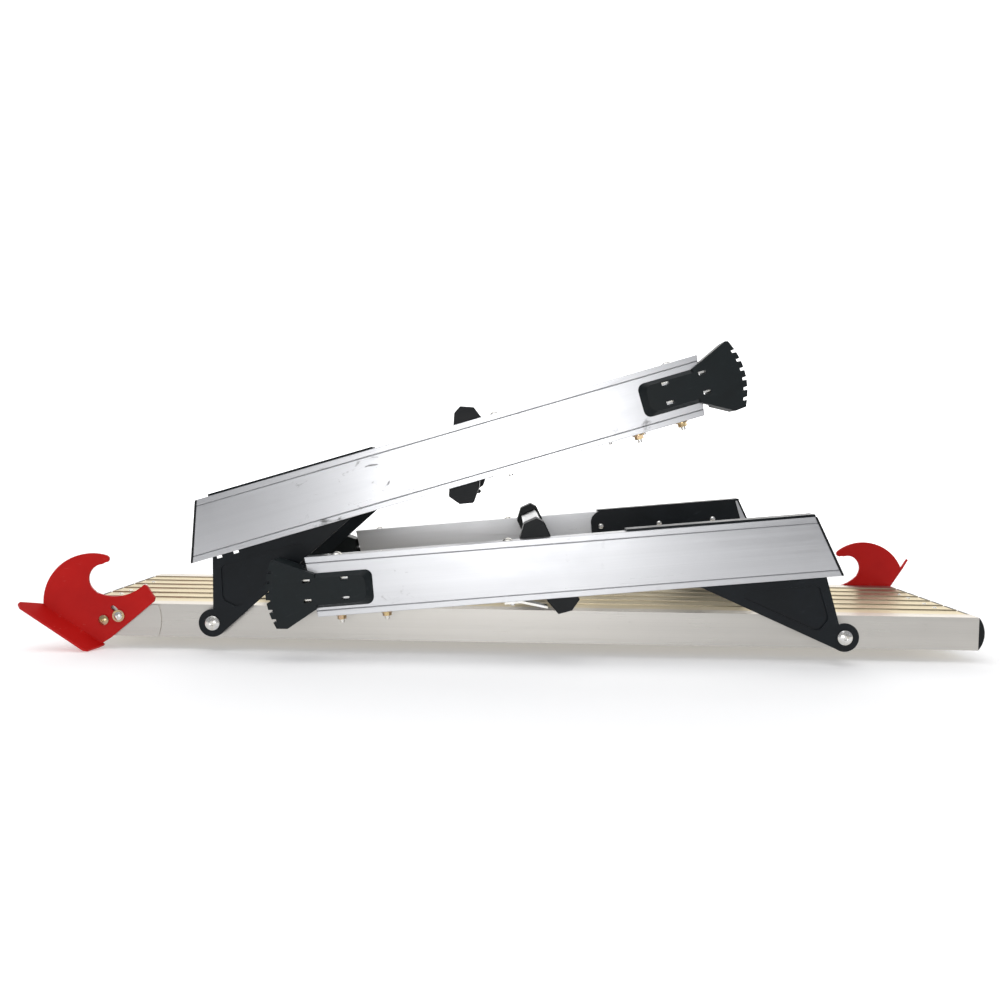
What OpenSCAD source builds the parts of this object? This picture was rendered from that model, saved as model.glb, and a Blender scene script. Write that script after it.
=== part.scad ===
// Folding work platform, stored: walking face down, both legs folded over the upturned underside.
// X runs along the deck, Y across it (near side is -Y), Z up. The origin is the centre of the walking face.
// Legs are drawn in their own frame: u (X) from the hinge to the foot, v (Z) away from the deck, pivot at 0.

/* [Deck] */
// Length of the deck without its end caps
deck_l = 1200; // [1100:10:1400]
// Width of the deck over its side rails
deck_w = 300; // [280:10:360]
// Height of the deck
deck_h = 44; // [40:1:50]
// Width of one side rail
side_w = 25; // [20:1:30]
// Number of planks between the side rails
planks = 3; // [3:1:3]
// Wall of every aluminium profile
wall = 2; // [1.6:0.2:3]
// Height of the ridges on the underside
ridge_h = 1.4; // [1:0.2:2]

/* [Legs] */
// Distance of each leg's pivots from the middle of the deck, upper leg then lower leg
pivot_x = [417, 408]; // [406:1:420]
// How much further outboard the lower leg's frame lies, so that it closes round the upper leg
nest = 26; // [26:1:30]
// Angle of the upper leg to the deck when stored
upper_angle = 17; // [17:1:20]
// Angle of the lower leg to the deck when stored
lower_angle = -5.5; // [-6:0.5:-4]
// Lower edge of a leg rail, from the pivot
rail_v = 84; // [80:1:86]
// Depth of a leg rail
rail_d = 77; // [70:1:80]
// Width of a leg rail
rail_w = 25; // [20:1:28]
// Length of each leg from the pivot to the rail's end, upper leg then lower leg
leg_l = [692, 670]; // [660:1:700]
// Angle of a standing leg to the deck
stand_angle = 108; // [106:1:109]

/* [Feet] */
// Thickness of a foot's arm on the rail
arm_t = 12; // [10:1:14]
// Half height of a foot's sole
sole_half = 43; // [40:1:46]
// Height of each foot's middle along v, upper leg then lower leg
foot_v = [123, 118]; // [110:1:126]

/* [Hooks] */
// Distance of each hook's pivot from the middle of the deck, near hook then far hook
hook_x = [565, 553]; // [552:1:568]
// Thickness of the hook plate
hook_t = 4; // [3:0.5:4]
// Width of the bent flange
flange_w = 30; // [25:1:34]
// Turn of the far hook from fully open when stored
far_hook_turn = 24; // [0:1:25]
// Turn of a hook from open to closed
hook_travel = 37; // [36:1:38]
// Radius of the round mouth
mouth_r = 19.8; // [18:0.2:20]
// Radius of the lock rod that the mouth takes
rod_r = 6.5; // [5:0.5:7]

/* [Hidden] */
$fn = 64;

aluminium = "#c9cbd0";
underside = "#d8c9a2";
black = "#1d2326";
red = "#b3171b";
zinc = "#cdb777";
steel = "#b9bcc0";

near = -1;
far = 1;
eps = 0.01;
half_l = deck_l / 2;
half_w = deck_w / 2;
mid_h = deck_h / 2;
inner_w = deck_w - 2 * side_w;
plank_w = inner_w / planks;

// Distances outboard of the deck's side face, or of $out beyond it for the lower leg
$out = 0;
doubler_t = 1.5;
hook_t0 = 2;
hook_t1 = hook_t0 + hook_t;
bracket_t0 = 11;
gusset_t1 = 14.5;
rail_t0 = 15;
rail_t1 = rail_t0 + rail_w;
arm_t1 = rail_t1 + arm_t;
fan_t0 = 16;
gap = 0.3;

// Leg rail ends: the hinge end is cut at 21 degrees and the foot end at 8 degrees
rail_top = rail_v + rail_d;
hinge_cut = [7, 36];
foot_slant = 11;
cap_t = 3;

// Hook outline, from its pivot, as it lies when open
mouth = [-0.7, 54.8];
back = [-14.5, 22.5];
back_r = 66.5;
tip_r = 4.6;
tip = back + (back_r - tip_r - 0.3) * [cos(74), sin(74)];
jaw = [13.2, 89.8];
jaw_r = 58;
bend_a = [-80.5, 20.5];
bend_b = [-6.2, -28];
bend_angle = atan2(bend_b[1] - bend_a[1], bend_b[0] - bend_a[0]);
bend_l = norm(bend_b - bend_a);
heel = [8.7, -24];
toe = [67, 26];
stop_r = 20.6;
stop_angle = 16.6;
stop_shank_r = 2.7;
slot_half = 3;
hook_shank_r = 4;

function turned(p, a) = [p[0] * cos(a) - p[1] * sin(a), p[0] * sin(a) + p[1] * cos(a)];
function pick(pair, second) = pair[second ? 1 : 0];

// The lock rod lies where the closed mouth is when the leg stands
function rod_uv(lower) =
  turned([pick(pivot_x, lower) - pick(hook_x, lower), 0] + turned(mouth, -hook_travel), -stand_angle);

pivot_r = 5;
eye_r = 18.5;
fit = 0.05;
// Gusset of each leg's bracket, upper leg then lower leg: slope, far end and near edge at the rail
gusset_angle = [25.6, 29.2];
gusset_end = [218, 188];
gusset_edge = [26, 19];
bracket_end = 284;
lip_u = [50, 34];
lip_t1 = 36;
lip_h = 3;

// Middle of each leg's step along u and v, upper leg then lower leg
tread_mid = [[382, 120], [371, 122]];
tread_depth = 104;
tread_t = 24;
tread_turn = 70;
shoe_w = 34;
brace_l = 44;
function brace_u(lower) = pick(tread_mid, lower)[0] + 52;
function foot_bolt_us(lower) = [pick(leg_l, lower) - 86, pick(leg_l, lower) - 28];

// A side profile drawn in X and Z, between two distances outboard of the deck's side
module layer(side, t0, t1)
  translate([0, side > 0 ? half_w + $out + t1 : -(half_w + $out + t0), 0])
    rotate([90, 0, 0]) linear_extrude(t1 - t0) children();

// A solid turned about an axis across the deck, its base at t and growing outboard
module turned_part(side, t)
  translate([0, side * (half_w + $out + t), 0]) rotate([side > 0 ? -90 : 90, 0, 0]) children();

// Places the leg frame at the stored angle: the upper leg hinges at the left, the lower one at the right
module leg(lower = false) {
  $out = lower ? nest : 0;
  mirror([lower ? 1 : 0, 0, 0])
    translate([-pick(pivot_x, lower), 0, mid_h])
      rotate([0, -(lower ? lower_angle : upper_angle), 0]) children();
}

// Places a hook's frame: near left as drawn, far right turned half round
module hook_place(is_far = false)
  rotate([0, 0, is_far ? 180 : 0]) translate([-pick(hook_x, is_far), 0, mid_h]) children();

// Button head with a flange and a hexagon socket, standing on z = 0
module button_head(r, h) {
  socket_r = r * 0.36;
  difference() {
    rotate_extrude() intersection() {
      union() {
        square([r, h * 0.22]);
        translate([0, h - 1.6 * r]) circle(1.6 * r);
      }
      square([r, h]);
    }
    translate([0, 0, h * 0.45]) cylinder(r = socket_r, h = h, $fn = 6);
  }
}

// ---- Deck ----

module deck_rail(side) {
  hook_at = side == near ? -hook_x[0] : hook_x[1];
  stop = turned([stop_r, 0], stop_angle);
  color(aluminium) difference() {
    translate([-half_l, 0, 0]) rotate([90, 0, 90]) linear_extrude(deck_l)
      mirror([side < 0 ? 1 : 0, 0]) translate([half_w - side_w, 0])
        difference() {
          square([side_w, deck_h]);
          translate([wall, wall]) square([side_w - 2 * wall, deck_h - 2 * wall]);
        }
    for (x = [-pivot_x[0], pivot_x[1]]) bolt_hole(side, x, mid_h, pivot_r);
    bolt_hole(side, hook_at, mid_h, hook_shank_r);
    bolt_hole(side, hook_at - sign(hook_at) * stop[0], mid_h + stop[1], stop_shank_r);
  }
}

// Hole through a side rail's outer wall
module bolt_hole(side, x, z, r)
  translate([x, 0, z]) turned_part(side, -wall - 1) cylinder(r = r + 0.02, h = wall + 2);

module deck_plank(i) {
  top = deck_h - ridge_h;
  cell_w = (plank_w - 3 * wall) / 2;
  color(underside)
    translate([-half_l, -inner_w / 2 + i * plank_w, 0]) rotate([90, 0, 90]) linear_extrude(deck_l)
      difference() {
        union() {
          translate([0.05, 0]) square([plank_w - 0.1, top]);
          for (k = [0, 1, 2])
            translate([0.05 + k * (plank_w - 2.1) / 2, top - eps]) square([2, ridge_h + eps]);
        }
        for (k = [0, 1])
          translate([wall + k * (cell_w + wall), wall + 1]) square([cell_w, top - 2 * wall - 1]);
        for (k = [0.5:1:9.5])
          translate([k * plank_w / 10 - 0.8, -eps]) square([1.6, 1 + eps]);
      }
}

// Black plugs that close the plank cells at one end
module deck_plugs(end) {
  cell_w = (plank_w - 3 * wall) / 2;
  color(black)
    for (i = [0:planks - 1], k = [0, 1])
      translate([end * half_l, -inner_w / 2 + i * plank_w + wall + k * (cell_w + wall), 0])
        mirror([end < 0 ? 1 : 0, 0, 0]) {
          translate([0, 2, 4]) cube([3, cell_w - 4, deck_h - 4.8]);
          translate([-12, 0.2, wall + 1.2]) cube([12 + eps, cell_w - 0.4, deck_h - ridge_h - 2 * wall - 1.4]);
        }
}

// Bulging caps on the ends of the side rails
module deck_caps(end) {
  bulge = 8;
  arc_r = (mid_h * mid_h + bulge * bulge) / (2 * bulge);
  color(black)
    for (side = [near, far])
      mirror([end < 0 ? 1 : 0, 0, 0]) translate([half_l, 0, 0]) {
        layer(side, -side_w, 0)
          intersection() {
            translate([0, 0.3]) square([bulge, deck_h - 0.6]);
            translate([bulge - arc_r, mid_h]) circle(arc_r, $fn = 128);
          }
        layer(side, -side_w + wall + 0.2, -wall - 0.2)
          translate([-15, wall + 0.2]) square([15 + eps, deck_h - 2 * wall - 0.4]);
      }
}

// Rivets that tie the planks to the bars inside the deck ends
module deck_rivets() {
  color(steel)
    for (end = [-1, 1], y = [-62, -28, 28, 62])
      translate([end * (half_l - 20), y, deck_h - ridge_h]) rotate_extrude() intersection() {
        translate([0, -3.1]) circle(4.6);
        square([4, 2]);
      }
}

module hook_doubler(is_far = false) {
  inner_x = 75;
  end_x = pick(hook_x, is_far) - half_l;
  color(aluminium) hook_place(is_far)
    layer(near, 0, doubler_t) difference() {
      union() {
        translate([end_x, 1 - mid_h]) square([inner_x - end_x - 8, deck_h - 2]);
        translate([inner_x - 60, 0]) intersection() {
          circle(60, $fn = 128);
          translate([0, 1 - mid_h]) square([60, deck_h - 2]);
        }
      }
      circle(hook_shank_r + 0.1);
      translate(turned([stop_r, 0], stop_angle)) circle(stop_shank_r + 0.1);
    }
}

module hook_bolt(shank_r, t_head, head_r, head_h) {
  turned_part(near, t_head) button_head(head_r, head_h);
  turned_part(near, -wall - 8) cylinder(r = shank_r, h = t_head + wall + 8 + eps);
}

module hook_pivot_bolts()
  color(zinc) for (is_far = [false, true])
    hook_place(is_far) hook_bolt(hook_shank_r, hook_t1 + gap, 6.6, 4);

stop_washer_h = 1.2;
module hook_stop_bolts()
  color(steel) for (is_far = [false, true])
    hook_place(is_far) rotate([0, -stop_angle, 0]) translate([stop_r, 0, 0]) rotate([0, stop_angle, 0])
      hook_bolt(stop_shank_r, hook_t1 + gap + stop_washer_h, 5.4, 3);

module hook_stop_washers()
  color(zinc) for (is_far = [false, true])
    hook_place(is_far) rotate([0, -stop_angle, 0]) translate([stop_r, 0, 0])
      turned_part(near, hook_t1 + gap) difference() {
        cylinder(r = 8, h = stop_washer_h);
        translate([0, 0, -1]) cylinder(r = stop_shank_r + 0.1, h = 3);
      }

// ---- Leg pivots, fixed to the deck ----

module pivot_place(lower)
  translate([lower ? pivot_x[1] : -pivot_x[0], 0, mid_h]) children();

module pivot_bolts(lower) {
  head_t = gusset_t1 + gap + (lower ? nest : 0);
  color(steel) pivot_place(lower) for (side = [near, far]) {
    turned_part(side, head_t) button_head(9.6, 5);
    turned_part(side, -wall - 9) cylinder(r = pivot_r, h = head_t + wall + 9 + eps);
  }
}

module pivot_bushes(lower) {
  bush_l = bracket_t0 - gap + (lower ? nest : 0);
  color(steel) pivot_place(lower) for (side = [near, far])
    turned_part(side, 0) difference() {
      cylinder(r = 10, h = bush_l);
      translate([0, 0, -1]) cylinder(r = pivot_r + 0.1, h = bush_l + 2);
    }
}

module pivot_nuts()
  color(steel) for (lower = [false, true], side = [near, far])
    pivot_place(lower) turned_part(side, -wall - 8) difference() {
      cylinder(r = 9, h = 7.9, $fn = 6);
      translate([0, 0, -1]) cylinder(r = pivot_r + 0.02, h = 10);
    }

// ---- Legs ----

function rail_outline(l) =
  [[hinge_cut[0], rail_v], [l, rail_v], [l + foot_slant, rail_top], [hinge_cut[1], rail_top]];

// Hollow box rail; two fine grooves run along its outer face
module rail(side, lower) {
  l = pick(leg_l, lower);
  color(aluminium) leg(lower) difference() {
    layer(side, rail_t0, rail_t1) polygon(rail_outline(l));
    layer(side, rail_t0 + wall, rail_t1 - wall)
      translate([-20, rail_v + wall]) square([l + 60, rail_d - 2 * wall]);
    layer(side, rail_t1 - 0.7, rail_t1 + 1)
      for (v = [rail_v + 7.5, rail_top - 8.3]) translate([-20, v]) square([l + 60, 0.8]);
    layer(side, rail_t0 - 1, rail_t0 + wall + 1) translate(rod_uv(lower)) circle(rod_r + 0.2);
    for (u = concat([brace_u(lower)], foot_bolt_us(lower)))
      translate([u, side * (half_w + $out + (rail_t0 + rail_t1) / 2), rail_v - 1])
        cylinder(r = 3.2, h = rail_d + 2);
  }
}

// Thin black caps on the slanted hinge ends
module rail_caps(lower) {
  slope = (hinge_cut[1] - hinge_cut[0]) / rail_d;
  color(black) leg(lower) for (side = [near, far])
    layer(side, rail_t0, rail_t1)
      polygon([
        [hinge_cut[0] - cap_t, rail_v], [hinge_cut[0], rail_v],
        [hinge_cut[0] + slope * rail_d, rail_top], [hinge_cut[0] + slope * rail_d - cap_t, rail_top]
      ]);
}

// Black pivot bracket: a plate inside the rail, a lip over the rail's top edge and a gusset down to the eye
module bracket(side, lower) {
  slope = pick(gusset_angle, lower);
  tangent = (eye_r - 0.3) * [sin(slope), -cos(slope)];
  edge = pick(gusset_edge, lower);
  end = pick(gusset_end, lower);
  end_r = 18;
  color(black) leg(lower) difference() {
    union() {
      layer(side, bracket_t0, rail_t0) {
        polygon([
          [40, rail_top], [30, 110], [edge, rail_v], [end, rail_v], [232, 104],
          [bracket_end - end_r, 112], [bracket_end - end_r, rail_top]
        ]);
        intersection() {
          translate([bracket_end - end_r, rail_top - end_r]) circle(end_r);
          translate([bracket_end - end_r, 110]) square([end_r, rail_top - 110]);
        }
        translate([bracket_end - end_r, 112]) square([end_r, rail_top - end_r - 112]);
      }
      layer(side, bracket_t0, gusset_t1) {
        circle(eye_r);
        polygon([[edge, rail_v + 1], [end, rail_v + 1], [end, rail_v], tangent, [0, 0], [6, 17]]);
      }
      layer(side, bracket_t0, lip_t1)
        translate([pick(lip_u, lower), rail_top]) square([272 - pick(lip_u, lower), lip_h]);
    }
    // Pressed panel beside the eye
    layer(side, gusset_t1 - 2, gusset_t1 + 1) scale([end / gusset_end[0], 1]) recess();
    layer(side, bracket_t0 - 1, gusset_t1 + 1) circle(pivot_r + fit);
    layer(side, bracket_t0 - 1, rail_t0 + 1) translate(rod_uv(lower)) circle(rod_r + 0.05);
    // Notches along the rail's lower edge
    for (u = [34, 57]) layer(side, bracket_t0 - 1, gusset_t1 + 1)
      translate([u - 4, rail_v - 4]) square([8, 3.5]);
  }
}

// The blunt-cornered triangle of the pressed panel
module recess()
  polygon([[36, 70], [138, 70], [146, 66], [145, 61], [44, 13], [36, 13], [24, 24], [23, 30], [32, 67]]);

module bracket_rivets(lower)
  color(steel) leg(lower) for (side = [near, far], p = [[80, 133], [268, 136], [170, 133], [120, 95]])
    translate([p[0], side * (half_w + $out + bracket_t0), p[1]]) rotate([side * 90, 0, 0])
      rotate_extrude() intersection() {
        translate([0, -3.1]) circle(5.6);
        square([4.6, 2.4]);
      }

module tread_frame(lower)
  translate([pick(tread_mid, lower)[0], 0, pick(tread_mid, lower)[1]])
    rotate([0, -tread_turn, 0]) children();

// Hollow aluminium step, ribbed on the face that is trodden on
module tread(lower) {
  half_d = tread_depth / 2;
  color(aluminium) leg(lower) tread_frame(lower)
    translate([0, half_w + $out + bracket_t0 - shoe_w / 2, 0]) rotate([90, 0, 0])
      linear_extrude(2 * (half_w + $out + bracket_t0) - shoe_w) difference() {
        union() {
          translate([-half_d, -tread_t / 2]) square([tread_depth, tread_t]);
          for (k = [0:9])
            translate([-half_d + 4 + k * (tread_depth - 11) / 9, tread_t / 2 - eps]) square([3, 1.2]);
        }
        for (k = [-1, 0, 1])
          translate([k * (tread_depth - wall) / 3 - (tread_depth - 4 * wall) / 6, wall - tread_t / 2])
            square([(tread_depth - 4 * wall) / 3, tread_t - 2 * wall]);
      }
}

// Black moulded shoe on each end of the step, with a nose at both edges
module tread_end(side, lower) {
  half_d = tread_depth / 2;
  t = tread_t / 2;
  color(black) leg(lower) tread_frame(lower) difference() {
    layer(side, rail_t0 - shoe_w, rail_t0)
      polygon([
        [-half_d - 9, -t - 4], [-half_d - 12, 2], [-half_d - 3, t + 5],
        [half_d + 3, t + 5], [half_d + 12, t - 2], [half_d + 12, -8],
        [half_d - 4, -t - 10], [-half_d + 12, -t - 10]
      ]);
    layer(side, rail_t0 - shoe_w - 1, bracket_t0 - 6)
      translate([-half_d - 0.2, -t - 0.2]) square([tread_depth + 0.4, tread_t + 1.6]);
  }
}

// Flat steel braces from the lower edge of the step to the rail's lower edge
module braces(lower) {
  low = rail_v - 0.1;
  u = brace_u(lower);
  color(steel) leg(lower) for (side = [near, far]) difference() {
    layer(side, rail_t0 + 3, rail_t1 - 3)
      polygon([
        [u + 10, low], [u - 12, low], [u - brace_l, low - 9.5],
        [u - brace_l, low - 12.5], [u - 11, low - 3], [u + 10, low - 3]
      ]);
    translate([u, side * (half_w + $out + (rail_t0 + rail_t1) / 2), low - 10]) cylinder(r = 3.1, h = 20);
  }
}

// Rod across the leg, which the hook catches when the leg stands
module lock_rod(lower)
  color(steel) leg(lower) translate([rod_uv(lower)[0], 0, rod_uv(lower)[1]]) rotate([90, 0, 0])
    cylinder(r = rod_r, h = 2 * (half_w + $out + rail_t0 + wall), center = true);

teeth = 7;
function sole_u(v) = 61 - 9 * pow(v / 40, 2);
function foot_outline() = let (pitch = 2 * sole_half / teeth) concat(
  [[-2, -22], [37, -sole_half - 1]],
  [for (i = [0:teeth - 1], k = [0:3])
    let (v = -sole_half + (i + [0.02, 0.68, 0.72, 1][k]) * pitch)
      [sole_u(v) - (k > 1 && i < teeth - 1 ? 5 : 0), v]],
  [[47, sole_half + 1], [-2, 22]]
);

// Black rubber foot: a toothed sole block past the rail's end and an arm on the rail's outer face
module foot(side, lower) {
  color(black) leg(lower) mirror([0, side < 0 ? 1 : 0, 0])
    translate([pick(leg_l, lower), 0, pick(foot_v, lower)]) difference() {
      union() {
        difference() {
          layer(far, fan_t0, arm_t1) polygon(foot_outline());
          layer(far, fan_t0 - 1, rail_t1) translate([-50, -60]) square([63, 120]);
        }
        arm();
      }
      for (u = [-44, 4], v = [-11, 14])
        layer(far, rail_t1 - 1, arm_t1 + 1) translate([u, v - 2.2]) square([9.5, 4.4]);
    }
}

// The drafted arm, wider where it meets the rail
module arm() {
  arm_l = 65;
  hull() {
    layer(far, rail_t1, rail_t1 + 1) arm_outline(-arm_l - 8, 22);
    layer(far, arm_t1 - 1, arm_t1) arm_outline(-arm_l, 17);
  }
}
module arm_outline(u, half) {
  r = 9;
  for (v = [-1, 1]) translate([u + r, v * (half - r)]) circle(r, $fn = 32);
  translate([0, -half]) square([6, 2 * half]);
}

// Bolts down the rails: one at each brace and two at each foot, the first of which has no head
module rail_bolts(lower)
  color(steel) leg(lower) for (side = [near, far], u = concat([brace_u(lower)], foot_bolt_us(lower)))
    translate([u, side * (half_w + $out + (rail_t0 + rail_t1) / 2), 0]) {
      low = u == brace_u(lower) ? rail_v - 6 : rail_v - 11;
      headless = u == foot_bolt_us(lower)[0];
      translate([0, 0, low]) cylinder(r = 3, h = rail_top - low + (headless ? 0 : eps));
      if (!headless) translate([0, 0, rail_top]) rotate_extrude() intersection() {
        translate([0, -6]) circle(9.4);
        square([7.2, 3.4]);
      }
    }

module rail_nuts(lower)
  color(zinc) leg(lower) for (side = [near, far], u = foot_bolt_us(lower))
    translate([u, side * (half_w + $out + (rail_t0 + rail_t1) / 2), rail_v - 6.5]) difference() {
      union() {
        cylinder(r = 5.8, h = 5, $fn = 6);
        translate([0, 0, 5]) cylinder(r = 8, h = 1.4);
      }
      translate([0, 0, -1]) cylinder(r = 3.05, h = 10);
    }

// ---- Hooks ----

module hook_outline() {
  difference() {
    union() {
      intersection() {
        translate(back) circle(back_r, $fn = 128);
        polygon([bend_a, bend_b, heel, toe, [90, 100], [-90, 100], [-90, bend_a[1]]]);
      }
      polygon([bend_a, [-20, -37.5], [-12, -37.5], heel, toe, [68, 31], [57, 47], [52, 48.6], [0, 50]]);
    }
    translate(mouth) circle(mouth_r);
    intersection() {
      translate(jaw) circle(jaw_r, $fn = 128);
      polygon([[tip[0] + 1, 90], [90, 90], [90, 20], [-11.4, 20], [-11.4, mouth[1]], [tip[0] + 1, mouth[1]]]);
    }
    polygon([
      mouth - [2, 0], mouth + [-2, mouth_r - 0.2], tip - [0, tip_r - 0.3], tip + [3, 0.3 - tip_r], mouth + [6, 0]
    ]);
    // Slot for the stop bolt
    slot_arc();
    circle(hook_shank_r + fit);
  }
  translate(tip) circle(tip_r);
}

// Arc slot about the pivot, as long as the hook's travel
module slot_arc() {
  ends = [stop_angle - 1, stop_angle + hook_travel + 1];
  for (a = ends) translate(turned([stop_r, 0], a)) circle(slot_half, $fn = 32);
  difference() {
    circle(stop_r + slot_half);
    circle(stop_r - slot_half);
    polygon([[0, 0], for (a = [0:5]) turned([50, 0], ends[1] + a * (360 + ends[0] - ends[1]) / 5)]);
  }
}

// Red latch hook with its pedal flange folded outboard
module hook(is_far = false) {
  turn = is_far ? far_hook_turn : 0;
  tilt = 20;
  flange_in = 1.4;
  color(red) hook_place(is_far) rotate([0, turn, 0]) {
    difference() {
      layer(near, hook_t0, hook_t1) hook_outline();
      layer(near, hook_t0 - 1, hook_t1 + 1)
        translate(bend_a) rotate(bend_angle) translate([-30, -60]) square([bend_l + 60, 60 - hook_t / 2]);
    }
    translate([bend_a[0], -(half_w + hook_t0 + flange_in), bend_a[1]])
      rotate([0, -bend_angle, 0]) rotate([tilt, 0, 0]) translate([0, 0, -0.4])
        rotate([180, 0, 0]) linear_extrude(hook_t - 0.5)
          polygon([[0, 0], [bend_l + 8, 0], [bend_l + 6, 8], [bend_l, flange_w - 4], [bend_l - 5, flange_w],
            [-15, flange_w], [-21, flange_w - 4], [-21, flange_w - 8], [-6, 6]]);
  }
}
module near_hook() hook();
module far_hook() hook(true);

deck_rail(near);  // deck_rail_near
deck_rail(far);  // deck_rail_far
deck_plank(0);  // deck_plank_1
deck_plank(1);  // deck_plank_2
deck_plank(2);  // deck_plank_3
deck_plugs(-1);  // deck_plugs_left
deck_plugs(1);  // deck_plugs_right
deck_caps(-1);  // deck_caps_left
deck_caps(1);  // deck_caps_right
deck_rivets();
hook_doubler();  // hook_doubler_near
hook_doubler(true);  // hook_doubler_far
hook_pivot_bolts();
hook_stop_bolts();
hook_stop_washers();
pivot_bolts(false);  // upper_pivot_bolts
pivot_bushes(false);  // upper_pivot_bushes
pivot_bolts(true);  // lower_pivot_bolts
pivot_bushes(true);  // lower_pivot_bushes
pivot_nuts();
rail(near, false);  // upper_rail_near
rail(far, false);  // upper_rail_far
rail_caps(false);  // upper_rail_caps
bracket(near, false);  // upper_bracket_near
bracket(far, false);  // upper_bracket_far
bracket_rivets(false);  // upper_bracket_rivets
tread(false);  // upper_tread
tread_end(near, false);  // upper_tread_end_near
tread_end(far, false);  // upper_tread_end_far
braces(false);  // upper_braces
lock_rod(false);  // upper_lock_rod
foot(near, false);  // upper_foot_near
foot(far, false);  // upper_foot_far
rail_bolts(false);  // upper_rail_bolts
rail_nuts(false);  // upper_rail_nuts
rail(near, true);  // lower_rail_near
rail(far, true);  // lower_rail_far
rail_caps(true);  // lower_rail_caps
bracket(near, true);  // lower_bracket_near
bracket(far, true);  // lower_bracket_far
bracket_rivets(true);  // lower_bracket_rivets
tread(true);  // lower_tread
tread_end(near, true);  // lower_tread_end_near
tread_end(far, true);  // lower_tread_end_far
braces(true);  // lower_braces
lock_rod(true);  // lower_lock_rod
foot(near, true);  // lower_foot_near
foot(far, true);  // lower_foot_far
rail_bolts(true);  // lower_rail_bolts
rail_nuts(true);  // lower_rail_nuts
near_hook();
far_hook();
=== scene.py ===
"""Looks of the folding step platform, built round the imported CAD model. Metres, in the row frame."""
import math

import bmesh
import bpy
from mathutils import Matrix, Vector


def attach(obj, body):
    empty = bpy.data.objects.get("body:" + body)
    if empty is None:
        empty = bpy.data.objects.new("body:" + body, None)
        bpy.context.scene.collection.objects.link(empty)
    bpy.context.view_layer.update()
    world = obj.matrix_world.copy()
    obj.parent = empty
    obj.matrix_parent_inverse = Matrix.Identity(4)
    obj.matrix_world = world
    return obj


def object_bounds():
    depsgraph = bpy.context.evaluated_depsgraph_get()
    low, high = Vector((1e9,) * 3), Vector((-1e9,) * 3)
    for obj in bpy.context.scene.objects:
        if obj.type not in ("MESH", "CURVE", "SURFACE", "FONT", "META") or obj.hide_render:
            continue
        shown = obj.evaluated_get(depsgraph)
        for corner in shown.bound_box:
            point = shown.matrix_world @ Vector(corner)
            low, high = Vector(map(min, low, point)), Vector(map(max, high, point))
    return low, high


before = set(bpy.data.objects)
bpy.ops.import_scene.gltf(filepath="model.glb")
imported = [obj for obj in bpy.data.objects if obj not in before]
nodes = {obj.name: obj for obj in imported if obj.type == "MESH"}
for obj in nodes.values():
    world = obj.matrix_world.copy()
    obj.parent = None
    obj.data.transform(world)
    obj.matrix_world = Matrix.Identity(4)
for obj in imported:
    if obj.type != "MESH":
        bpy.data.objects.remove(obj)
cad_box = [list(corner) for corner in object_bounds()]

# Slopes of the legs at rest: the upper leg rises to the right, the lower leg falls to the left
UPPER_ANGLE = math.radians(17)
LOWER_ANGLE = math.radians(5.5)

# Legs as the CAD places them, in metres: pivot X, turn in the XZ plane, way the leg runs along X, how far
# outboard the rail's outer face lies, length to the rail's end and height of the foot's middle over the pivot
PIVOT_Z = 0.022
LEGS = {
    "upper_leg": {"pivot": -0.417, "turn": UPPER_ANGLE, "way": 1, "face": 0.190,
                  "length": 0.692, "foot": 0.123},
    "lower_leg": {"pivot": 0.408, "turn": -LOWER_ANGLE, "way": -1, "face": 0.216,
                  "length": 0.670, "foot": 0.118},
}

# Slots in each foot's arm, in metres: place along the leg from the rail's end, with the bright plate's lift
# off the rail's face, then place over the foot's middle, and the size of the bright plate that shows in each
# slot. The plates
# are a painted highlight: bright metal set near each slot's mouth stands for the lit part of the rail seen
# through it
SLOT_PLACES = ((-0.03925, 0.004), (0.00875, 0.006))
SLOT_ROWS = (-0.0101, 0.0149)
LIT_PLATE_WIDTH, LIT_PLATE_HEIGHT, LIT_PLATE_DEPTH = 0.0092, 0.0024, 0.0012

# Camera that was solved from the photograph
CAMERA_PLACE = (-0.0287, -1.4064, 0.2545)
CAMERA_YAW, CAMERA_PITCH, CAMERA_ROLL = (math.radians(degrees) for degrees in (0.487, -2.922, -0.906))
CAMERA_LENS = 34.15

# Backdrop, in metres: a flat floor, a round cove and a wall
FLOOR_GAP = 0.0005
FLOOR_FRONT, FLOOR_HALF = -14.0, 22.0
WALL_Y, WALL_TOP = 9.0, 12.0
COVE_RADIUS, COVE_STEPS = 4.0, 24


# ---- Camera ----

def make_camera():
    """Stands in front of the near side, a little over the folded legs, looking slightly down."""
    data = bpy.data.cameras.new("camera")
    camera = bpy.data.objects.new("camera", data)
    bpy.context.scene.collection.objects.link(camera)
    bpy.context.scene.camera = camera
    data.sensor_width = 36
    data.lens = CAMERA_LENS
    data.clip_start = 0.05
    yaw = Matrix.Rotation(CAMERA_YAW, 3, "Z")
    pitch = Matrix.Rotation(CAMERA_PITCH, 3, "X")
    roll = Matrix.Rotation(CAMERA_ROLL, 3, "Y")
    level = Matrix.Rotation(math.radians(90), 3, "X")
    turn = yaw @ pitch @ roll @ level
    camera.matrix_world = Matrix.Translation(CAMERA_PLACE) @ turn.to_4x4()


# ---- Node helpers ----

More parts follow.
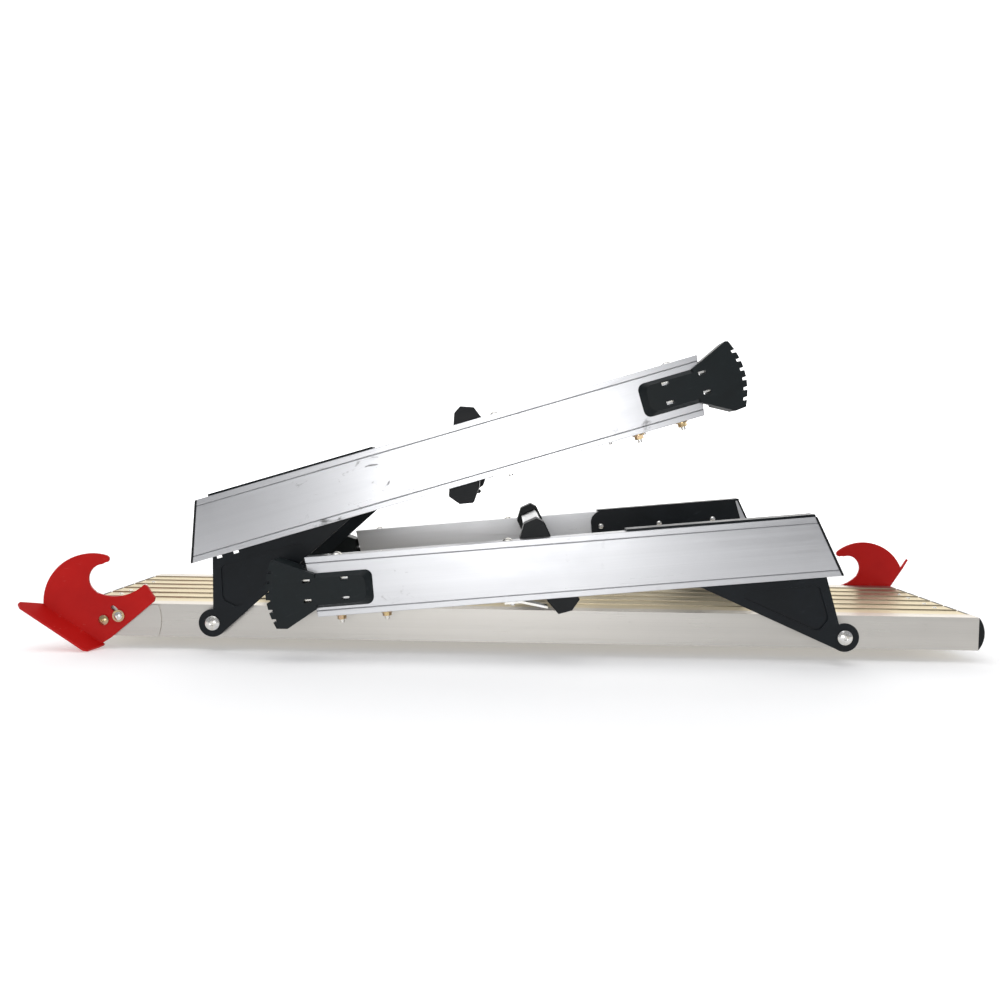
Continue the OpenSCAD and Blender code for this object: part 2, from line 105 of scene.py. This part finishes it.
class Nodes:
    """A material's node tree with short calls to add and join nodes."""

    def __init__(self, name):
        self.material = bpy.data.materials.new(name)
        self.material.use_nodes = True
        self.tree = self.material.node_tree
        self.shader = self.tree.nodes["Principled BSDF"]

    def add(self, kind, **values):
        node = self.tree.nodes.new(kind)
        for key, value in values.items():
            setattr(node, key, value)
        return node

    def link(self, out, into):
        self.tree.links.new(out, into)

    def set(self, **values):
        """Constants on the shader's own sockets."""
        for key, value in values.items():
            self.shader.inputs[key.replace("_", " ")].default_value = value

    def coords(self, scale, turn=0.0, offset=(0, 0, 0)):
        """Object coordinates turned about Y, then scaled to features per metre and shifted."""
        source = self.add("ShaderNodeTexCoord")
        turned = self.add("ShaderNodeMapping")
        turned.inputs["Rotation"].default_value = (0, turn, 0)
        self.link(source.outputs["Object"], turned.inputs["Vector"])
        scaled = self.add("ShaderNodeMapping")
        scaled.inputs["Scale"].default_value = scale
        scaled.inputs["Location"].default_value = offset
        self.link(turned.outputs["Vector"], scaled.inputs["Vector"])
        return scaled.outputs["Vector"]

    def noise(self, vector, detail, rough, distortion=0.0):
        """Noise whose size comes from the coordinates alone."""
        node = self.add("ShaderNodeTexNoise")
        node.inputs["Scale"].default_value = 1.0
        node.inputs["Detail"].default_value = detail
        node.inputs["Roughness"].default_value = rough
        node.inputs["Distortion"].default_value = distortion
        self.link(vector, node.inputs["Vector"])
        return node.outputs["Fac"]

    def spread(self, value, low, high, to_low=0.0, to_high=1.0):
        """Maps value from low..high to to_low..to_high, clamped."""
        node = self.add("ShaderNodeMapRange")
        node.clamp = True
        for name, number in zip(("From Min", "From Max", "To Min", "To Max"), (low, high, to_low, to_high)):
            node.inputs[name].default_value = number
        self.link(value, node.inputs["Value"])
        return node.outputs["Result"]

    def math(self, operation, a, b):
        """Arithmetic on two values, each a socket or a number."""
        node = self.add("ShaderNodeMath", operation=operation)
        for socket, value in zip(node.inputs, (a, b)):
            if isinstance(value, (int, float)):
                socket.default_value = value
            else:
                self.link(value, socket)
        return node.outputs["Value"]

    def mix(self, factor, a, b):
        """Colour between a and b, each a socket or a colour."""
        node = self.add("ShaderNodeMix", data_type="RGBA")
        self.link(factor, node.inputs["Factor"])
        for name, value in (("A", a), ("B", b)):
            socket = [s for s in node.inputs if s.name == name and s.type == "RGBA"][0]
            if isinstance(value, tuple):
                socket.default_value = (*value, 1)
            else:
                self.link(value, socket)
        return [s for s in node.outputs if s.type == "RGBA"][0]

    def bump(self, height, strength, distance):
        """Fine relief from height, distance in metres deep."""
        node = self.add("ShaderNodeBump")
        node.inputs["Strength"].default_value = strength
        node.inputs["Distance"].default_value = distance
        self.link(height, node.inputs["Height"])
        self.link(node.outputs["Normal"], self.shader.inputs["Normal"])


# ---- Materials ----

SOOT = (0.07, 0.065, 0.06)
SCRATCH_SLANT = 0.16
RUB_SLANT = 0.3


def brushed(name, base, smudge, turn=0.0, rough=(0.29, 0.36), dirt=0.5, seed=0.0, edge=(1, 1, 1)):
    """Extruded aluminium: fine lines along the length, hazy smudges, specks of dirt and scratches.

    turn lays the lines along a sloping rail, seed shifts the pattern, and edge tints what glances off."""
    n = Nodes(name)
    n.set(Metallic=1.0, Specular_Tint=(*edge, 1))
    lines = n.noise(n.coords((3, 900, 900), turn, (seed, 0, 0)), 4.0, 0.6)
    bands = n.noise(n.coords((1.2, 90, 90), turn, (seed, 3, 0)), 3.0, 0.55)
    haze = n.noise(n.coords((7, 12, 14), turn, (seed, 7, 1)), 4.0, 0.6, 0.6)
    grime = n.noise(n.coords((26, 60, 42), turn, (seed, 1, 5)), 6.0, 0.72, 1.2)
    patch = n.noise(n.coords((4.5, 9, 9), turn, (seed, 4, 9)), 2.0, 0.5)
    specks = n.math("MULTIPLY", n.spread(grime, 0.60, 0.70), n.spread(patch, 0.54, 0.66))
    scratch = n.noise(n.coords((14, 700, 700), turn + SCRATCH_SLANT, (seed, 0, 2)), 1.0, 0.3, 0.3)
    marks = n.math("MULTIPLY", n.spread(scratch, 0.72, 0.75, 0.0, dirt), n.spread(haze, 0.48, 0.6))
    tone = n.math("ADD", n.spread(lines, 0.3, 0.7, 0, 0.5), n.spread(bands, 0.3, 0.7, 0, 0.5))
    colour = n.mix(tone, tuple(0.90 * c for c in base), base)
    colour = n.mix(n.spread(haze, 0.45, 0.75, 0, 0.45), colour, smudge)
    colour = n.mix(n.math("MULTIPLY", specks, dirt), colour, SOOT)
    n.link(colour, n.shader.inputs["Base Color"])
    gloss = n.math("ADD", n.spread(haze, 0.35, 0.7, rough[0], rough[1]),
                   n.spread(lines, 0.3, 0.7, -0.03, 0.05))
    gloss = n.math("ADD", gloss, n.math("MULTIPLY", n.math("MAXIMUM", specks, marks), 0.25))
    n.link(gloss, n.shader.inputs["Roughness"])
    height = n.math("SUBTRACT", n.math("ADD", lines, n.math("MULTIPLY", bands, 0.8)), marks)
    n.bump(height, 0.22, 0.00012)
    return n.material


def red_coat():
    """Satin red powder coat with fine orange peel and a few pale scuffs."""
    n = Nodes("red_coat")
    n.set(Metallic=0.0, Specular_IOR_Level=0.15, Coat_Weight=0.05, Coat_Roughness=0.25)
    peel = n.noise(n.coords((520, 520, 520)), 2.0, 0.5)
    cloud = n.noise(n.coords((16, 16, 16)), 4.0, 0.6)
    scuff = n.noise(n.coords((90, 60, 420)), 3.0, 0.5, 0.8)
    worn = n.math("MULTIPLY", n.spread(scuff, 0.66, 0.72), n.spread(cloud, 0.5, 0.62))
    deep, bright, pale = (0.44, 0.004, 0.003), (0.52, 0.007, 0.005), (0.55, 0.12, 0.10)
    colour = n.mix(n.spread(cloud, 0.3, 0.7), deep, bright)
    colour = n.mix(n.math("MULTIPLY", worn, 0.5), colour, pale)
    n.link(colour, n.shader.inputs["Base Color"])
    n.link(n.spread(cloud, 0.3, 0.7, 0.34, 0.46), n.shader.inputs["Roughness"])
    n.bump(peel, 0.25, 0.00012)
    return n.material


def moulded(name, base, worn, rough, grain_scale, grain_depth):
    """Black moulded or coated surface with a fine grain, dusty clouds and rubbed marks."""
    n = Nodes(name)
    n.set(Metallic=0.0, Specular_IOR_Level=0.22)
    grain = n.noise(n.coords((grain_scale,) * 3), 2.0, 0.55)
    cloud = n.noise(n.coords((22, 22, 22)), 5.0, 0.62, 0.4)
    rub = n.noise(n.coords((45, 45, 260), RUB_SLANT), 4.0, 0.6, 0.6)
    rubbed = n.math("MULTIPLY", n.spread(rub, 0.60, 0.72), n.spread(cloud, 0.48, 0.62))
    colour = n.mix(n.spread(cloud, 0.35, 0.75), base, tuple(1.7 * c for c in base))
    colour = n.mix(n.math("MULTIPLY", rubbed, 0.55), colour, worn)
    n.link(colour, n.shader.inputs["Base Color"])
    gloss = n.math("ADD", n.spread(cloud, 0.3, 0.7, rough - 0.06, rough + 0.08),
                   n.math("MULTIPLY", rubbed, 0.12))
    n.link(gloss, n.shader.inputs["Roughness"])
    n.bump(grain, 0.35, grain_depth)
    return n.material


def plated(name, base, tint, rough):
    """Zinc plated steel with patchy passivation."""
    n = Nodes(name)
    n.set(Metallic=1.0)
    cloud = n.noise(n.coords((160, 160, 160)), 4.0, 0.6)
    fine = n.noise(n.coords((900, 900, 900)), 2.0, 0.5)
    n.link(n.mix(n.spread(cloud, 0.35, 0.65), base, tint), n.shader.inputs["Base Color"])
    n.link(n.spread(fine, 0.3, 0.7, rough - 0.06, rough + 0.08), n.shader.inputs["Roughness"])
    n.bump(fine, 0.2, 0.0001)
    return n.material


GREY = (0.61, 0.615, 0.63)
HAZE = (0.54, 0.545, 0.56)
materials = {
    "deck_side": brushed("deck_side", (0.57, 0.55, 0.515), (0.52, 0.50, 0.46), rough=(0.28, 0.36), dirt=0.1,
                         edge=(0.85, 0.82, 0.78)),
    # The planks' undersides: aluminium whose beige base, smudge and edge tint are a painted warm reflection
    "deck_under": brushed("deck_under", (0.66, 0.60, 0.48), (0.62, 0.56, 0.44), rough=(0.30, 0.36), dirt=0.1,
                          seed=3, edge=(0.74, 0.69, 0.57)),
    "upper": brushed("upper_aluminium", GREY, HAZE, UPPER_ANGLE, dirt=0.9, seed=11),
    "lower": brushed("lower_aluminium", GREY, HAZE, LOWER_ANGLE, dirt=0.5, seed=23),
    "red": red_coat(),
    "plastic": moulded("black_plastic", (0.004, 0.005, 0.006), (0.03, 0.03, 0.03), 0.42, 900, 0.00008),
    "bracket": moulded("black_coating", (0.003, 0.005, 0.007), (0.02, 0.025, 0.03), 0.36, 500, 0.00010),
    "rubber": moulded("foot_rubber", (0.005, 0.008, 0.009), (0.035, 0.04, 0.04), 0.48, 1100, 0.00010),
    "zinc": plated("yellow_zinc", (0.52, 0.41, 0.20), (0.50, 0.34, 0.24), 0.26),
    "steel": plated("bright_steel", (0.74, 0.74, 0.74), (0.66, 0.64, 0.58), 0.24),
}


def material_of(name):
    """The finish of a CAD node, from its name."""
    leg = "lower" if name.startswith("lower_") else "upper"
    if name.startswith("deck_plank"):
        return "deck_under"
    if name.startswith(("deck_rail", "hook_doubler")):
        return "deck_side"
    if name in ("near_hook", "far_hook"):
        return "red"
    if "foot" in name:
        return "rubber"
    if "cap" in name or "plug" in name or "tread_end" in name:
        return "plastic"
    if "bracket_near" in name or "bracket_far" in name:
        return "bracket"
    if name in ("hook_pivot_bolts", "hook_stop_washers") or name.endswith("rail_nuts"):
        return "zinc"
    if name.endswith(("rail_near", "rail_far", "_tread")):
        return leg
    return "steel"


# Rounding of the edges, in metres. Finishes that aren't named keep the CAD's sharp edges.
BEVELS = {"upper": 0.0009, "lower": 0.0009, "red": 0.0007, "plastic": 0.0014,
          "bracket": 0.0008, "rubber": 0.0012}
WELD_REACH = 0.00001
SHARP_ANGLE = math.radians(35)


def finish_node(name, obj):
    """Gives a CAD node its finish and, where its edges are formed, a small rounding."""
    kind = material_of(name)
    obj.data.materials.clear()
    obj.data.materials.append(materials[kind])
    if kind in BEVELS:
        weld = obj.modifiers.new("weld", "WELD")
        weld.merge_threshold = WELD_REACH
        bevel = obj.modifiers.new("bevel", "BEVEL")
        bevel.width = BEVELS[kind]
        bevel.segments = 2
        bevel.limit_method = "ANGLE"
        bevel.angle_limit = SHARP_ANGLE
        bevel.harden_normals = True


# ---- Slot plates in the feet ----

def rounded_plate(bm, place, width, height, depth):
    """Adds a plate with round corners: width along place's X, height along its Z, the back at its Y 0."""
    radius, steps = height * 0.4, 4
    rim = []
    for sx, sz, first in ((1, 1, 0), (-1, 1, 1), (-1, -1, 2), (1, -1, 3)):
        for i in range(steps + 1):
            a = (first + i / steps) * math.pi / 2
            rim.append((sx * (width / 2 - radius) + radius * math.cos(a),
                        sz * (height / 2 - radius) + radius * math.sin(a)))
    back = [bm.verts.new(place @ Vector((x, 0, z))) for x, z in rim]
    front = [bm.verts.new(place @ Vector((x, -depth, z))) for x, z in rim]
    bm.faces.new(front)
    bm.faces.new(reversed(back))
    for i, corner in enumerate(back):
        j = (i + 1) % len(back)
        bm.faces.new((corner, back[j], front[j], front[i]))


def make_slot_plates(body):
    """Bright metal plates behind the four slots of each foot's arm: a painted highlight for the lit part of
    the rail seen through each slot.
    """
    leg = LEGS[body]
    bm = bmesh.new()
    base = Matrix.Translation((leg["pivot"], 0, PIVOT_Z)) @ Matrix.Rotation(-leg["way"] * leg["turn"], 4, "Y")
    for side in (-1, 1):
        outward = Matrix.Rotation(0 if side < 0 else math.pi, 4, "Z")
        for u, lift in SLOT_PLACES:
            for v in SLOT_ROWS:
                spot = (leg["way"] * (leg["length"] + u), side * (leg["face"] + lift), leg["foot"] + v)
                place = base @ Matrix.Translation(spot) @ outward
                rounded_plate(bm, place, LIT_PLATE_WIDTH, LIT_PLATE_HEIGHT, LIT_PLATE_DEPTH)
    bmesh.ops.recalc_face_normals(bm, faces=bm.faces)
    mesh = bpy.data.meshes.new(body + "_slot_plates")
    bm.to_mesh(mesh)
    bm.free()
    mesh.materials.append(materials["steel"])
    plates = bpy.data.objects.new(body + "_slot_plates", mesh)
    bpy.context.scene.collection.objects.link(plates)
    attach(plates, body)


# ---- Stage ----

def backdrop_finish():
    """Matt white that glows more up the wall and far behind, so that the room looks evenly pale."""
    n = Nodes("backdrop")
    n.set(Roughness=0.9, Emission_Color=(1, 1, 1, 1))
    axes = n.add("ShaderNodeSeparateXYZ")
    source = n.add("ShaderNodeTexCoord")
    n.link(source.outputs["Object"], axes.inputs["Vector"])
    glow = n.math("MAXIMUM", n.spread(axes.outputs["Z"], 0.0, 1.2, 0.28, 1.0),
                  n.spread(axes.outputs["Y"], 0.6, 2.4, 0.28, 1.0))
    # The floor in front of the object is dim at both sides, for the dark ends of the rails to mirror
    aside = n.spread(n.math("ABSOLUTE", axes.outputs["X"], 0.0), 0.15, 0.9)
    dim = n.math("MULTIPLY", n.spread(axes.outputs["Y"], -1.7, -1.0, 1.0, 0.0), aside)
    n.link(n.mix(dim, (0.82, 0.82, 0.82), (0.10, 0.095, 0.09)), n.shader.inputs["Base Color"])
    n.link(n.math("MULTIPLY", glow, n.spread(dim, 0.0, 1.0, 1.0, 0.0)), n.shader.inputs["Emission Strength"])
    return n.material


def make_stage():
    """A pale seamless floor that curves up far behind the object."""
    floor_z = min(cad_box[0][2], cad_box[1][2]) - FLOOR_GAP
    bm = bmesh.new()
    cove_y = WALL_Y - COVE_RADIUS
    profile = [(FLOOR_FRONT, 0.0), (cove_y, 0.0)]
    for i in range(1, COVE_STEPS + 1):
        a = i / COVE_STEPS * math.pi / 2
        profile.append((cove_y + COVE_RADIUS * math.sin(a), COVE_RADIUS - COVE_RADIUS * math.cos(a)))
    profile.append((WALL_Y, WALL_TOP))
    rows = [[bm.verts.new((x, y, floor_z + z)) for x in (-FLOOR_HALF, FLOOR_HALF)] for y, z in profile]
    for a, b in zip(rows, rows[1:]):
        bm.faces.new((a[0], a[1], b[1], b[0]))
    mesh = bpy.data.meshes.new("backdrop")
    bm.to_mesh(mesh)
    bm.free()
    for face in mesh.polygons:
        face.use_smooth = True
    floor = bpy.data.objects.new("backdrop", mesh)
    bpy.context.scene.collection.objects.link(floor)
    mesh.materials.append(backdrop_finish())


def area(name, place, target, size, power, colour=(1, 1, 1)):
    """A soft area light at place, facing target."""
    data = bpy.data.lights.new(name, "AREA")
    data.shape = "RECTANGLE"
    data.size, data.size_y = size
    data.energy = power
    data.color = colour
    light = bpy.data.objects.new(name, data)
    bpy.context.scene.collection.objects.link(light)
    aim = Vector(target) - Vector(place)
    light.matrix_world = Matrix.Translation(place) @ aim.to_track_quat("-Z", "Y").to_matrix().to_4x4()


def make_lights():
    """An even pale room, with a soft light behind the camera that whitens the middle of the rails."""
    world = bpy.data.worlds.new("world")
    bpy.context.scene.world = world
    world.use_nodes = True
    sky = world.node_tree.nodes["Background"]
    sky.inputs["Color"].default_value = (0.95, 0.96, 1.0, 1)
    sky.inputs["Strength"].default_value = 0.42
    warm = (1.0, 0.96, 0.90)
    area("flash", (-0.06, -2.4, 0.30), (0.0, 0.0, 0.12), (0.8, 0.5), 8)
    area("top", (-0.3, -0.6, 3.0), (0, 0, 0), (3.0, 3.0), 42)
    area("back", (0.4, 5.0, 2.5), (0, 0.5, 0.6), (6.0, 2.4), 25, (1.0, 0.93, 0.80))
    area("left", (-2.6, 0.7, 0.5), (0.0, -0.1, 0.1), (0.9, 0.6), 9, warm)
    area("right", (2.6, 0.7, 0.5), (0.0, -0.1, 0.1), (0.9, 0.6), 9, warm)


make_camera()
for node_name, node_object in nodes.items():
    finish_node(node_name, node_object)
for body_name in LEGS:
    make_slot_plates(body_name)
make_stage()
make_lights()

bpy.context.scene.view_settings.view_transform = "Standard"
